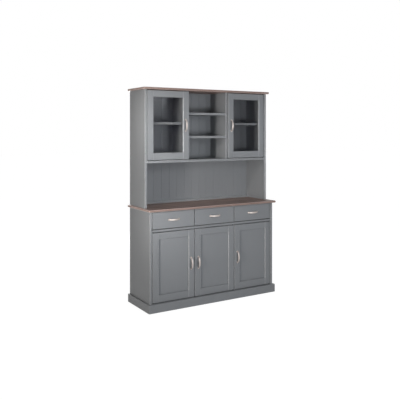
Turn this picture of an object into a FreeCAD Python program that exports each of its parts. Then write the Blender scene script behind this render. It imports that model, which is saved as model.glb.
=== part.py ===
import FreeCAD, Part
import math
import os

V = FreeCAD.Vector

# Buffet cabinet: a base with three drawers over three panel doors, and a shallower
# hutch with an open niche, open cubbies and two glazed doors. Millimetres, +Z up,
# front towards -Y, origin on the floor in the middle of the overall box.

# Overall sizes
overall_height = 1880.0
carcass_width = 1280.0
base_depth = 400.0
hutch_depth = 304.0
worktop_height = 855.0
niche_height = 381.0
drawer_front_height = 141.0
plinth_height = 70.0

# Board thicknesses
side_thickness = 19.0
divider_thickness = 19.0
deck_thickness = 19.0
shelf_thickness = 19.0
worktop_thickness = 19.0
top_thickness = 19.0
base_back_thickness = 5.0
back_board_thickness = 10.0
plinth_front_thickness = 22.0
plinth_side_thickness = 18.0

# Overhangs and edge shapes. A rounding takes no more than its limit of a board's thickness.
worktop_front_overhang = 30.0
worktop_side_overhang = 21.0
top_front_overhang = 24.0
top_side_overhang = 21.0
top_edge_radius = 6.0
top_corner_radius = 8.0
plinth_corner_radius = 9.0
plinth_edge_radius = 4.0
board_edge_radius = 2.5
rounding_limit = 0.4
touch = 0.001

# Gaps and fits
side_gap = 6.0
level_gap = 6.0
meeting_gap = 6.0
door_back_gap = 3.0
seat_clearance = 0.3
fit_clearance = 0.05
panel_clearance = 0.1
shelf_side_clearance = 0.5
pane_clearance = 0.5
rebate_width = 9.0

# Tongue and groove boards of the hutch back, and the rail at their foot
back_board_width = 80.0
first_board_width = 49.0
board_chamfer = 2.0
tongue_thickness = 3.5
tongue_length = 6.0
niche_rail_height = 16.0
niche_rail_thickness = 28.0

# Shelves and their pins
hutch_divider_cover = 6.0
cubby_shelf_recess = 2.0
display_shelf_rise = 6.5
display_shelf_clearance = 10.0
cupboard_shelf_drop = 20.0
cupboard_shelf_clearance = 40.0
narrow_shelf_rise = 32.0
shelf_back_clearance = 1.0
pin_radius = 2.5
pin_reach = 8.0
pin_wall_depth = 8.0
pin_inset = 18.0

# Doors
door_thickness = 22.0
door_recess = 3.0
stile_width = 58.0
top_rail_width = 56.0
bottom_rail_width = 60.0
frame_chamfer = 2.0
rail_recess = 1.0
panel_thickness = 6.0
panel_back_wall = 2.0
panel_groove_depth = 10.0
glass_thickness = 3.0
glass_rebate = 10.0
bead_width = 9.0
bead_depth = 5.0

# Door pivots and stops
pivot_inset = 8.0
pivot_setback = 6.0
pivot_radius = 2.5
pivot_door_depth = 14.0
pivot_board_depth = 10.0
pivot_collar_radius = 5.5
pivot_end_clearance = 0.5
stop_width = 40.0
stop_depth = 16.0
stop_height = 12.0

# Bow handles and their screws
handle_spacing = 96.0
handle_foot = 12.0
handle_projection = 27.0
handle_bow_thickness = 6.0
handle_width = 16.0
handle_end_width = 9.0
handle_edge_radius = 2.0
handle_offset = 33.0
rosette_radius = 9.0
rosette_thickness = 3.5
rosette_edge_radius = 1.5
screw_radius = 2.0
screw_engagement = 8.0
screw_head_radius = 4.0
screw_head_height = 2.5
screw_hole_clearance = 0.25

# Drawer boxes and runners
box_side_thickness = 15.0
box_back_thickness = 12.0
box_height = 105.0
box_lift = 12.0
box_wall_gap = 4.0
box_rear_clearance = 43.0
box_bottom_thickness = 5.0
box_bottom_height = 10.0
box_bottom_groove = 6.0
runner_height = 14.0
runner_groove_depth = 8.0
runner_level = 55.0
runner_front_setback = 20.0

# Dowels that locate the hutch on the worktop
dowel_radius = 4.0
dowel_worktop_depth = 12.0
dowel_side_depth = 20.0
dowel_inset = 45.0

# Places that follow from the sizes
half_width = carcass_width / 2
inner_half = half_width - side_thickness
bay_half = inner_half / 3
overall_depth = base_depth + worktop_front_overhang
rear = overall_depth / 2
base_front = rear - base_depth
hutch_front = rear - hutch_depth
base_back_face = rear - base_back_thickness
hutch_back_face = rear - back_board_thickness
base_top = worktop_height - worktop_thickness
deck_top = base_top - 2 * level_gap - drawer_front_height
deck_bottom = deck_top - deck_thickness
hutch_floor_bottom = worktop_height + niche_height
hutch_floor_top = hutch_floor_bottom + deck_thickness
top_underside = overall_height - top_thickness
divider_setback = door_recess + door_thickness + door_back_gap
base_divider_front = base_front + divider_setback
hutch_divider_front = hutch_front + divider_setback
panel_setback = door_thickness - panel_back_wall - panel_thickness
glass_setback = door_thickness - bead_depth - glass_thickness
hutch_divider_inner = bay_half + meeting_gap / 2 + hutch_divider_cover
hutch_divider_outer = hutch_divider_inner - divider_thickness


def block(x, y, z):
    """Box between a low and a high value on each axis."""
    return Part.makeBox(x[1] - x[0], y[1] - y[0], z[1] - z[0], V(x[0], y[0], z[0]))


def rod(start, direction, length, radius):
    """Cylinder from a start point along a direction."""
    return Part.makeCylinder(radius, length, start, direction)


def prism(points, push):
    """Solid of a closed outline of points, pushed along a vector."""
    return Part.Face(Part.makePolygon(points + points[:1])).extrude(push)


def mirrored(shape):
    """The same shape on the other side of the middle plane."""
    return shape.mirror(V(0, 0, 0), V(1, 0, 0))


def rounded(solid, radius, wanted):
    """Solid with the wanted edges rounded."""
    return solid.makeFillet(radius, [edge for edge in solid.Edges if wanted(edge)])


def at(value, target):
    """True where a coordinate lies on a plane."""
    return abs(value - target) < touch


def upright(edge):
    """True for an edge that runs straight up."""
    box = edge.BoundBox
    return box.ZLength > box.XLength + box.YLength


def front_edges(front):
    """Test for the edges that lie in the front face."""
    return lambda edge: at(edge.BoundBox.YMin, front) and at(edge.BoundBox.YMax, front)


# Carcass boards


def eased_board(x, y, z):
    """Board with its front arrises taken off."""
    radius = min(board_edge_radius, rounding_limit * (x[1] - x[0]), rounding_limit * (z[1] - z[0]))
    return rounded(block(x, y, z), radius, front_edges(y[0]))


def wooden_top(half, front, bottom, top):
    """Solid wood board with rounded corners and a soft edge on the front and both ends."""
    board = block((-half, half), (front, rear), (bottom, top))
    board = rounded(board, top_corner_radius, lambda e: upright(e) and at(e.BoundBox.YMax, front))
    radius = min(top_edge_radius, rounding_limit * (top - bottom))
    return rounded(board, radius, lambda e: not upright(e) and e.BoundBox.YMin < rear - touch)


def carcass_side(front, z, back_thickness, back_low):
    """Left side board with a rebate for the back along its rear inner edge."""
    board = eased_board((-half_width, -inner_half), (front, rear), z)
    across = (-inner_half - rebate_width, -inner_half)
    return board.cut(block(across, (rear - back_thickness, rear), (back_low, z[1])))


def pin_places(front, back, shelf_bottom):
    """Front and rear pin centres under a shelf."""
    level = shelf_bottom - seat_clearance - pin_radius
    return [(front + pin_inset, level), (back - pin_inset, level)]


def pins_and_holes(wall, inward, places):
    """Shelf pins that stand out of a wall, and the holes that they sit in."""
    axis = V(inward, 0, 0)
    pins = []
    holes = []
    for y, z in places:
        seat = V(wall - inward * pin_wall_depth, y, z)
        pins.append(rod(seat, axis, pin_wall_depth + pin_reach, pin_radius))
        holes.append(rod(seat, axis, pin_wall_depth, pin_radius + fit_clearance))
    return pins, holes


def back_boards():
    """Upright boards of the hutch back, joined by tongues and grooves with a V at each joint."""
    edge = inner_half + rebate_width
    first_joint = -inner_half + first_board_width
    count = max(1, round((edge - first_joint) / back_board_width))
    joints = [first_joint + back_board_width * n for n in range(count)]
    starts = [-edge] + joints
    ends = joints + [edge]
    return [back_board(start, end, start != -edge, end != edge) for start, end in zip(starts, ends)]


def back_board(start, end, grooved, tongued):
    """One back board between two joint lines."""
    low = rear - (back_board_thickness + tongue_thickness) / 2
    high = low + tongue_thickness
    left = start + fit_clearance if grooved else start
    right = end - fit_clearance if tongued else end
    left_chamfer = board_chamfer if grooved else 0.0
    right_chamfer = board_chamfer if tongued else 0.0
    outline = [V(left + left_chamfer, hutch_back_face), V(right - right_chamfer, hutch_back_face)]
    if tongued:
        outline += [V(right, hutch_back_face + right_chamfer), V(right, low), V(right + tongue_length, low)]
        outline += [V(right + tongue_length, high), V(right, high)]
    outline += [V(right, rear), V(left, rear)]
    if grooved:
        depth = tongue_length + panel_clearance
        outline += [V(left, high + panel_clearance), V(left + depth, high + panel_clearance)]
        outline += [V(left + depth, low - panel_clearance), V(left, low - panel_clearance)]
        outline += [V(left, hutch_back_face + left_chamfer)]
    board = prism(outline, V(0, 0, top_underside - worktop_height))
    board.translate(V(0, 0, worktop_height))
    return board


def plinth_front():
    """Front plinth board with rounded outer corners and a soft upper edge."""
    reach = half_width + plinth_side_thickness
    front = base_front - plinth_front_thickness
    board = block((-reach, reach), (front, base_front), (0, plinth_height))
    board = rounded(board, plinth_corner_radius, lambda e: upright(e) and at(e.BoundBox.YMax, front))
    outer = base_front - touch
    return rounded(board, plinth_edge_radius, lambda e: is_plinth_rim(e) and e.BoundBox.YMin < outer)


def is_plinth_rim(edge):
    """True for an edge along the top of the plinth."""
    return at(edge.BoundBox.ZMin, plinth_height) and at(edge.BoundBox.ZMax, plinth_height)


def plinth_side():
    """Left plinth board, behind the end of the front one."""
    outer = -half_width - plinth_side_thickness
    board = block((outer, -half_width), (base_front, rear), (0, plinth_height))
    return rounded(board, plinth_edge_radius, lambda e: is_plinth_rim(e) and at(e.BoundBox.XMax, outer))


# Doors


class Leaf:
    """Sizes of one door or drawer front, and the place of its pivots."""

    def __init__(self, name, x, front, z, hinge_side=0):
        self.name = name
        self.x = x
        self.y = (front + door_recess, front + door_recess + door_thickness)
        self.z = z
        self.hinge_side = hinge_side

    def pivot(self):
        """X and Y of the pivot axis."""
        edge = self.x[0] if self.hinge_side < 0 else self.x[1]
        return edge - self.hinge_side * pivot_inset, self.y[0] + pivot_setback

    def free_line(self):
        """X of the line on the free stile where the handle and the stop are."""
        edge = self.x[1] if self.hinge_side < 0 else self.x[0]
        return edge + self.hinge_side * handle_offset

    def middle(self):
        """Centre of the leaf across its width and height."""
        return (self.x[0] + self.x[1]) / 2, (self.z[0] + self.z[1]) / 2


def seat_depth(glazed):
    """How far the pane or panel, and the tenons beside it, go into a frame member."""
    return glass_rebate if glazed else panel_groove_depth


def inner_edge(face, glazed):
    """Inner edge of a frame member from front to back: (distance from the sight line, depth) pairs."""
    arris = [(-frame_chamfer, face), (0, face + frame_chamfer)]
    seat = -seat_depth(glazed)
    if glazed:
        return arris + [(0, glass_setback), (seat, glass_setback), (seat, door_thickness)]
    low = panel_setback - panel_clearance
    high = panel_setback + panel_thickness + panel_clearance
    return arris + [(0, low), (seat, low), (seat, high), (0, high), (0, door_thickness)]


def member_section(width, face, glazed):
    """Section of a frame member: (distance from the outer edge, depth) pairs, with its face at a depth."""
    inner = [(width + across, depth) for across, depth in inner_edge(face, glazed)]
    outer = [(0, door_thickness), (0, face + board_edge_radius), (board_edge_radius, face)]
    return inner + outer


def stile(leaf, side, glazed):
    """Upright frame member on one side of a leaf, over its whole height."""
    edge = leaf.x[0] if side < 0 else leaf.x[1]
    section = member_section(stile_width, 0, glazed)
    points = [V(edge - side * across, leaf.y[0] + depth, leaf.z[0]) for across, depth in section]
    return prism(points, V(0, 0, leaf.z[1] - leaf.z[0]))


def rail(leaf, side, glazed):
    """Level frame member between the stiles, with tenons that fill the stiles' groove or rebate."""
    width = top_rail_width if side > 0 else bottom_rail_width
    edge = leaf.z[1] if side > 0 else leaf.z[0]
    across, up = opening(leaf)
    section = member_section(width, rail_recess, glazed)
    points = [V(across[0], leaf.y[0] + depth, edge - side * inward) for inward, depth in section]
    body = prism(points, V(across[1] - across[0], 0, 0))
    near = glass_setback + panel_clearance if glazed else panel_setback
    far = door_thickness if glazed else panel_setback + panel_thickness
    reach = widened(across, seat_depth(glazed) - panel_clearance)
    height = sorted((edge, edge - side * (width - seat_depth(glazed))))
    return body.fuse(block(reach, (leaf.y[0] + near, leaf.y[0] + far), height)).removeSplitter()


def opening(leaf):
    """Width and height of the hole in a door frame."""
    across = (leaf.x[0] + stile_width, leaf.x[1] - stile_width)
    up = (leaf.z[0] + bottom_rail_width, leaf.z[1] - top_rail_width)
    return across, up


def widened(span, by):
    """Span with both ends moved outwards."""
    return span[0] - by, span[1] + by


def pivot_holes(leaf):
    """Holes in the ends of a door for its two pivots."""
    x, y = leaf.pivot()
    depth = pivot_door_depth + pivot_end_clearance
    radius = pivot_radius + fit_clearance
    lower = rod(V(x, y, leaf.z[0]), V(0, 0, 1), depth, radius)
    upper = rod(V(x, y, leaf.z[1]), V(0, 0, -1), depth, radius)
    return [lower, upper]


def door_frame(leaf, glazed):
    """Two stiles and two rails, drilled for the pivots and the handle screws."""
    holes = Part.makeCompound(pivot_holes(leaf) + handle_holes(leaf))
    members = [stile(leaf, side, glazed) for side in (-1, 1)]
    members = [member.cut(holes) for member in members]
    return members + [rail(leaf, side, glazed) for side in (-1, 1)]


def door_panel(leaf):
    """Flat panel that floats in the grooves of a frame."""
    across, up = opening(leaf)
    reach = panel_groove_depth - pane_clearance
    depth = (leaf.y[0] + panel_setback, leaf.y[0] + panel_setback + panel_thickness)
    return block(widened(across, reach), depth, widened(up, reach))


def door_glass(leaf):
    """Glass pane in the rebate of a frame."""
    across, up = opening(leaf)
    reach = glass_rebate - pane_clearance
    depth = (leaf.y[0] + glass_setback, leaf.y[0] + glass_setback + glass_thickness)
    return block(widened(across, reach), depth, widened(up, reach))


def door_beads(leaf):
    """Four beads that hold the pane from behind."""
    across, up = opening(leaf)
    depth = (leaf.y[0] + glass_setback + glass_thickness, leaf.y[1])
    outer_x = widened(across, glass_rebate)
    outer_z = widened(up, glass_rebate)
    inner_z = widened(outer_z, -bead_width)
    beads = [block((outer_x[0], outer_x[0] + bead_width), depth, inner_z)]
    beads.append(block((outer_x[1] - bead_width, outer_x[1]), depth, inner_z))
    beads.append(block(outer_x, depth, (outer_z[0], inner_z[0])))
    beads.append(block(outer_x, depth, (inner_z[1], outer_z[1])))
    return beads


def pivot(place, board_level, up):
    """Steel pivot with a collar: one end in the board, the other in the end of a door."""
    x, y = place
    axis = V(0, 0, up)
    foot = V(x, y, board_level - up * pivot_board_depth)
    length = pivot_board_depth + level_gap + pivot_door_depth
    collar = rod(V(x, y, board_level), axis, level_gap - seat_clearance, pivot_collar_radius)
    return rod(foot, axis, length, pivot_radius).fuse(collar).removeSplitter()


def pivot_seat(place, board_level, up):
    """Hole in a board for a pivot."""
    depth = pivot_board_depth + pivot_end_clearance
    return rod(V(place[0], place[1], board_level), V(0, 0, -up), depth, pivot_radius + fit_clearance)


def door_stop(leaf, ceiling):
    """Block under a board, behind the free stile of a closed door."""
    x = leaf.free_line()
    y = leaf.y[1] + seat_clearance
    across = (x - stop_width / 2, x + stop_width / 2)
    return block(across, (y, y + stop_depth), (ceiling - stop_height, ceiling))


# Handles


def handle_frame(leaf):
    """Centre of a leaf's handle on its front face, and the direction along the handle."""
    x, z = leaf.middle()
    if leaf.hinge_side:
        return V(leaf.free_line(), leaf.y[0], z), V(0, 0, 1)
    return V(x, leaf.y[0], z), V(1, 0, 0)


def handle_holes(leaf):
    """Holes through a leaf for the two handle screws."""
    centre, along = handle_frame(leaf)
    feet = [centre + along * (side * handle_spacing / 2) for side in (-1, 1)]
    return [rod(foot, V(0, 1, 0), door_thickness, screw_radius + screw_hole_clearance) for foot in feet]


def bow(half_length, height):
    """Half ellipse from foot to foot of a handle that lies along X."""
    ellipse = Part.Ellipse(V(half_length, 0, 0), V(0, height, 0), V(0, 0, 0))
    return Part.ArcOfEllipse(ellipse, math.pi, 2 * math.pi).toShape()


def grip_outline():
    """Outline of a handle from the front: widest in the middle, narrower towards its ends."""
    reach = handle_spacing / 2 + handle_foot
    half_end = handle_end_width / 2
    sides = []
    for side in (-1, 1):
        ends = [V(hand * reach, 0, side * half_end) for hand in (-1, 1)]
        sides.append(Part.Arc(ends[0], V(0, 0, side * handle_width / 2), ends[1]).toShape())
    ends = [Part.makeLine(V(hand * reach, 0, -half_end), V(hand * reach, 0, half_end)) for hand in (-1, 1)]
    return Part.Face(Part.Wire(Part.__sortEdges__(sides + ends)))


def bow_grip():
    """Bow of a handle that lies along X, with soft edges."""
    outer = (handle_spacing + handle_foot) / 2
    inner = (handle_spacing - handle_foot) / 2
    bows = [bow(outer, handle_projection), bow(inner, handle_projection - handle_bow_thickness)]
    soles = [Part.makeLine(V(side * outer, 0, 0), V(side * inner, 0, 0)) for side in (-1, 1)]
    face = Part.Face(Part.Wire(Part.__sortEdges__(bows + soles)))
    face.translate(V(0, 0, -handle_width))
    grip = face.extrude(V(0, 0, 2 * handle_width))
    grip = grip.common(grip_outline().extrude(V(0, -2 * handle_projection, 0)))
    radius = min(handle_edge_radius, rounding_limit * handle_bow_thickness, rounding_limit * handle_end_width)
    return rounded(grip, radius, lambda e: e.BoundBox.YLength > touch)


def rosette(foot):
    """Round plate under one foot of a handle, with a soft front edge."""
    plate = rod(foot, V(0, -1, 0), rosette_thickness, rosette_radius)
    radius = min(rosette_edge_radius, rounding_limit * rosette_thickness)
    return rounded(plate, radius, lambda e: at(e.BoundBox.YMax, -rosette_thickness))


def handle(leaf):
    """Bow handle on two rosettes, and the two screws that hold it from behind."""
    grip = bow_grip()
    screws = []
    for side in (-1, 1):
        foot = V(side * handle_spacing / 2, 0, 0)
        tip = foot - V(0, screw_engagement, 0)
        hole = rod(tip, V(0, 1, 0), screw_engagement, screw_radius + fit_clearance)
        shank = rod(tip, V(0, 1, 0), screw_engagement + door_thickness, screw_radius)
        head = rod(foot + V(0, door_thickness, 0), V(0, 1, 0), screw_head_height, screw_head_radius)
        grip = grip.fuse(rosette(foot)).cut(hole)
        screws.append(shank.fuse(head).removeSplitter())
    pieces = [grip.removeSplitter()] + screws
    centre, along = handle_frame(leaf)
    for piece in pieces:
        if along.z:
            piece.rotate(V(0, 0, 0), V(0, 1, 0), 90)
        piece.translate(centre)
    return pieces


# Drawers


class DrawerBox:
    """Sizes of the box behind a drawer front, and of the runners that carry it."""

    def __init__(self, leaf, bay):
        self.leaf = leaf
        self.bay = bay
        self.outer = widened(bay, -box_wall_gap)
        self.inner = widened(self.outer, -box_side_thickness)
        self.y = (leaf.y[1], base_back_face - box_rear_clearance)
        self.low = deck_top + box_lift
        self.high = self.low + box_height
        self.floor = (self.low + box_bottom_height, self.low + box_bottom_height + box_bottom_thickness)
        middle = self.low + runner_level
        self.runner = (middle - runner_height / 2, middle + runner_height / 2)

    def front(self):
        """Flat front with eased arrises, a groove for the bottom and holes for the handle."""
        leaf = self.leaf
        slab = eased_board(leaf.x, leaf.y, leaf.z)
        groove = self.bottom_space(panel_clearance)
        return slab.cut(groove).cut(Part.makeCompound(handle_holes(leaf)))

    def bottom_space(self, clearance):
        """Space of the bottom panel, let into the sides and the front."""
        across = widened(self.inner, box_bottom_groove + clearance)
        depth = (self.y[0] - box_bottom_groove - clearance, self.y[1])
        return block(across, depth, widened(self.floor, clearance))

    def side(self, hand):
        """Side with grooves for the bottom panel and the runner."""
        outer = self.outer[0] if hand < 0 else self.outer[1]
        inner = self.inner[0] if hand < 0 else self.inner[1]
        board = block(sorted((outer, inner)), self.y, (self.low, self.high))
        deep = outer - hand * (runner_groove_depth + seat_clearance)
        length = (self.y[0] + runner_front_setback, self.y[1])
        groove = block(sorted((outer, deep)), length, widened(self.runner, seat_clearance))
        return board.cut(self.bottom_space(panel_clearance)).cut(groove)

    def box(self):
        """Two sides, and a back that stands on the bottom panel between them."""
        depth = (self.y[1] - box_back_thickness, self.y[1])
        back = block(self.inner, depth, (self.floor[1] + panel_clearance, self.high))
        return [self.side(-1), self.side(1), back]

    def bottom(self):
        """Thin bottom panel."""
        return self.bottom_space(0.0)

    def runners(self):
        """Two runners, fixed to the walls of the bay."""
        reach = box_wall_gap + runner_groove_depth
        length = (self.y[0] + runner_front_setback + seat_clearance, self.y[1])
        left = block((self.bay[0], self.bay[0] + reach), length, self.runner)
        right = block((self.bay[1] - reach, self.bay[1]), length, self.runner)
        return [left, right]


# Doors and drawers in their places
door_left = (-inner_half + side_gap, -bay_half - meeting_gap / 2)
door_middle = (-bay_half + meeting_gap / 2, bay_half - meeting_gap / 2)
door_right = (bay_half + meeting_gap / 2, inner_half - side_gap)
door_levels = (plinth_height + level_gap, deck_bottom - level_gap)
glazed_levels = (hutch_floor_top + level_gap, top_underside - level_gap)
drawer_levels = (deck_top + level_gap, base_top - level_gap)

panel_doors = [
    Leaf("base_door_left", door_left, base_front, door_levels, -1),
    Leaf("base_door_middle", door_middle, base_front, door_levels, 1),
    Leaf("base_door_right", door_right, base_front, door_levels, 1),
]
glazed_doors = [
    Leaf("hutch_door_left", door_left, hutch_front, glazed_levels, -1),
    Leaf("hutch_door_right", door_right, hutch_front, glazed_levels, 1),
]
base_divider_half = divider_thickness / 2
bay_left = (-inner_half, -bay_half - base_divider_half)
bay_middle = (-bay_half + base_divider_half, bay_half - base_divider_half)
bay_right = (bay_half + base_divider_half, inner_half)
drawers = [
    DrawerBox(Leaf("drawer_left", door_left, base_front, drawer_levels), bay_left),
    DrawerBox(Leaf("drawer_middle", door_middle, base_front, drawer_levels), bay_middle),
    DrawerBox(Leaf("drawer_right", door_right, base_front, drawer_levels), bay_right),
]

nodes = {}

# Pivots of every door, and the seats for them in the boards above and below
pivots = []
base_seats = []
hutch_seats = []
for doors, floor_level, ceiling, seats in (
    (panel_doors, plinth_height, deck_bottom, base_seats),
    (glazed_doors, hutch_floor_top, top_underside, hutch_seats),
):
    for door in doors:
        for level, up in ((floor_level, 1), (ceiling, -1)):
            pivots.append(pivot(door.pivot(), level, up))
            seats.append(pivot_seat(door.pivot(), level, up))
base_seats = Part.makeCompound(base_seats)
hutch_seats = Part.makeCompound(hutch_seats)

# Shelves that lie on pins
wide_bay = (-inner_half, bay_half - base_divider_half)
wide_shelf_bottom = (plinth_height + deck_bottom) / 2 - cupboard_shelf_drop
narrow_shelf_bottom = wide_shelf_bottom + narrow_shelf_rise
display_shelf_bottom = (hutch_floor_top + top_underside) / 2 + display_shelf_rise
cupboard_shelf_front = base_divider_front + cupboard_shelf_clearance
cupboard_shelf_depth = (cupboard_shelf_front, base_back_face - shelf_back_clearance)
display_shelf_front = hutch_divider_front + display_shelf_clearance
display_shelf_depth = (display_shelf_front, hutch_back_face - shelf_back_clearance)
display_bay_left = (-inner_half, -hutch_divider_inner)
display_bay_right = (hutch_divider_inner, inner_half)

loose_shelves = {
    "cupboard_shelf_wide": (wide_bay, cupboard_shelf_depth, wide_shelf_bottom),
    "cupboard_shelf_narrow": (bay_right, cupboard_shelf_depth, narrow_shelf_bottom),
    "display_shelf_left": (display_bay_left, display_shelf_depth, display_shelf_bottom),
    "display_shelf_right": (display_bay_right, display_shelf_depth, display_shelf_bottom),
}
shelf_pins = []
pin_holes = []
for name, (bay, depth, bottom) in loose_shelves.items():
    across = widened(bay, -shelf_side_clearance)
    nodes[name] = [eased_board(across, depth, (bottom, bottom + shelf_thickness))]
    for wall, inward in ((bay[0], 1), (bay[1], -1)):
        pins, holes = pins_and_holes(wall, inward, pin_places(depth[0], depth[1], bottom))
        shelf_pins += pins
        pin_holes += holes
pin_holes = Part.makeCompound(pin_holes)

# Dowels between the hutch sides and the worktop
dowels = []
dowel_holes = []
for x in (-half_width + side_thickness / 2, half_width - side_thickness / 2):
    for y in (hutch_front + dowel_inset, rear - dowel_inset):
        foot = V(x, y, worktop_height - dowel_worktop_depth)
        length = dowel_worktop_depth + dowel_side_depth
        dowels.append(rod(foot, V(0, 0, 1), length, dowel_radius))
        dowel_holes.append(rod(foot, V(0, 0, 1), length, dowel_radius + fit_clearance))
dowel_holes = Part.makeCompound(dowel_holes)

# Base carcass
base_side = carcass_side(base_front, (0, base_top), base_back_thickness, plinth_height - deck_thickness)
nodes["base_side_left"] = [base_side.cut(pin_holes)]
nodes["base_side_right"] = [mirrored(base_side).cut(pin_holes)]
floor_span = (-inner_half, inner_half)
floor_level = (plinth_height - deck_thickness, plinth_height)
nodes["base_floor"] = [block(floor_span, (base_front, base_back_face), floor_level).cut(base_seats)]
deck_front = base_front + door_recess
deck = eased_board(floor_span, (deck_front, base_back_face), (deck_bottom, deck_top))
nodes["drawer_deck"] = [deck.cut(base_seats)]
partition_span = (bay_half - base_divider_half, bay_half + base_divider_half)
divider_depth = (base_divider_front, base_back_face)
partition = eased_board(partition_span, divider_depth, (plinth_height, deck_bottom))
nodes["cupboard_partition"] = [partition.cut(pin_holes)]
drawer_divider = eased_board(partition_span, divider_depth, (deck_top, base_top))
nodes["drawer_divider_right"] = [drawer_divider]
nodes["drawer_divider_left"] = [mirrored(drawer_divider)]
back_span = widened(floor_span, rebate_width)
nodes["base_back"] = [block(back_span, (base_back_face, rear), (plinth_height - deck_thickness, base_top))]
nodes["plinth_front"] = [plinth_front()]
nodes["plinth_left"] = [plinth_side()]
nodes["plinth_right"] = [mirrored(plinth_side())]
worktop_half = half_width + worktop_side_overhang
worktop = wooden_top(worktop_half, base_front - worktop_front_overhang, base_top, worktop_height)
nodes["worktop"] = [worktop.cut(dowel_holes)]

# Hutch
hutch_levels = (worktop_height, top_underside)
hutch_side = carcass_side(hutch_front, hutch_levels, back_board_thickness, worktop_height)
hutch_side_holes = Part.makeCompound([pin_holes, dowel_holes])
nodes["hutch_side_left"] = [hutch_side.cut(hutch_side_holes)]
nodes["hutch_side_right"] = [mirrored(hutch_side).cut(hutch_side_holes)]
hutch_floor = eased_board(floor_span, (hutch_front, hutch_back_face), (hutch_floor_bottom, hutch_floor_top))
nodes["hutch_floor"] = [hutch_floor.cut(hutch_seats)]
hutch_divider_span = (hutch_divider_outer, hutch_divider_inner)
hutch_divider_depth = (hutch_divider_front, hutch_back_face)
hutch_divider = eased_board(hutch_divider_span, hutch_divider_depth, (hutch_floor_top, top_underside))
nodes["hutch_divider_right"] = [hutch_divider.cut(pin_holes)]
nodes["hutch_divider_left"] = [mirrored(hutch_divider).cut(pin_holes)]
nodes["hutch_back_boards"] = back_boards()
rail_depth = (hutch_back_face - niche_rail_thickness, hutch_back_face)
rail_levels = (worktop_height, worktop_height + niche_rail_height)
nodes["niche_rail"] = [eased_board(floor_span, rail_depth, rail_levels)]
top_half = half_width + top_side_overhang
top_board = wooden_top(top_half, hutch_front - top_front_overhang, top_underside, overall_height)
nodes["top_board"] = [top_board.cut(hutch_seats)]
cubby_height = (top_underside - hutch_floor_top - 2 * shelf_thickness) / 3
cubby_span = (-hutch_divider_outer, hutch_divider_outer)
cubby_depth = (hutch_divider_front + cubby_shelf_recess, hutch_back_face)
for number, name in enumerate(("cubby_shelf_lower", "cubby_shelf_upper"), start=1):
    bottom = hutch_floor_top + number * cubby_height + (number - 1) * shelf_thickness
    nodes[name] = [eased_board(cubby_span, cubby_depth, (bottom, bottom + shelf_thickness))]

# Hardware of the carcass
nodes["shelf_pins"] = shelf_pins
nodes["door_pivots"] = pivots
nodes["hutch_dowels"] = dowels
base_stops = [door_stop(door, deck_bottom) for door in panel_doors]
hutch_stops = [door_stop(door, top_underside) for door in glazed_doors]
nodes["door_stops"] = base_stops + hutch_stops
nodes["drawer_runners"] = [runner for drawer in drawers for runner in drawer.runners()]

# Doors and drawers
for door in panel_doors:
    nodes[door.name + "_frame"] = door_frame(door, False)
    nodes[door.name + "_panel"] = [door_panel(door)]
    nodes[door.name + "_handle"] = handle(door)
for door in glazed_doors:
    nodes[door.name + "_frame"] = door_frame(door, True)
    nodes[door.name + "_glass"] = [door_glass(door)]
    nodes[door.name + "_beads"] = door_beads(door)
    nodes[door.name + "_handle"] = handle(door)
for drawer in drawers:
    nodes[drawer.leaf.name + "_front"] = [drawer.front()]
    nodes[drawer.leaf.name + "_box"] = drawer.box()
    nodes[drawer.leaf.name + "_bottom"] = [drawer.bottom()]
    nodes[drawer.leaf.name + "_handle"] = handle(drawer.leaf)

os.makedirs("parts", exist_ok=True)
for name, solids in nodes.items():
    shape = solids[0] if len(solids) == 1 else Part.makeCompound(solids)
    shape.exportStep("parts/" + name + ".step")
print(len(nodes), "nodes,", sum(len(solids) for solids in nodes.values()), "solids")
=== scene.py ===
import logging
import math
from dataclasses import dataclass
from enum import Enum
from typing import Optional, Sequence, Union

import bmesh
import bpy
from mathutils import Matrix, Vector


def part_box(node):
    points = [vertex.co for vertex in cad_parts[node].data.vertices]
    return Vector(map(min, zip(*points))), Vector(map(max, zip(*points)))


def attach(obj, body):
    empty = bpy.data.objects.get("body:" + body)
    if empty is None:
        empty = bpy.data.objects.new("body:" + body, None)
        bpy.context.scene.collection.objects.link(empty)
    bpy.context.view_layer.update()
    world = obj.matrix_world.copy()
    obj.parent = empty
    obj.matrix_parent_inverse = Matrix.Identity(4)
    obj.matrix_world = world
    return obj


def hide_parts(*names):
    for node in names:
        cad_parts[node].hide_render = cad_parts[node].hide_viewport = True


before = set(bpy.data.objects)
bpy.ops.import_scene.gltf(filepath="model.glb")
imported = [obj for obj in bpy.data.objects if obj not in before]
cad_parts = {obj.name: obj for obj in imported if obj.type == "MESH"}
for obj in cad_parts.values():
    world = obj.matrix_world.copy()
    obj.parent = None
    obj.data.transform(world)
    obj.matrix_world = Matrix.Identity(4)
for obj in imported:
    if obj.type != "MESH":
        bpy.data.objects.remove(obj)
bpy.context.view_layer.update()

log = logging.getLogger("buffet")

Colour = tuple[float, float, float]
Corner = tuple[float, float]
Key = Union[int, str]


class Axis(Enum):
    """Direction in which the grain of a board runs."""

    X = 0
    Y = 1
    Z = 2

    def drawn_out(self, along: float, across: float) -> tuple[float, ...]:
        """Scale of a pattern that is long along this axis and narrow across it."""
        return tuple(along if axis == self.value else across for axis in range(3))


class Wear(Enum):
    """How far the paint is worn off along rounded edges, which also sets the strength of the painted
    highlight there.
    """

    NONE = 0.0
    LIGHT = 0.3
    FULL = 1.0


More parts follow.
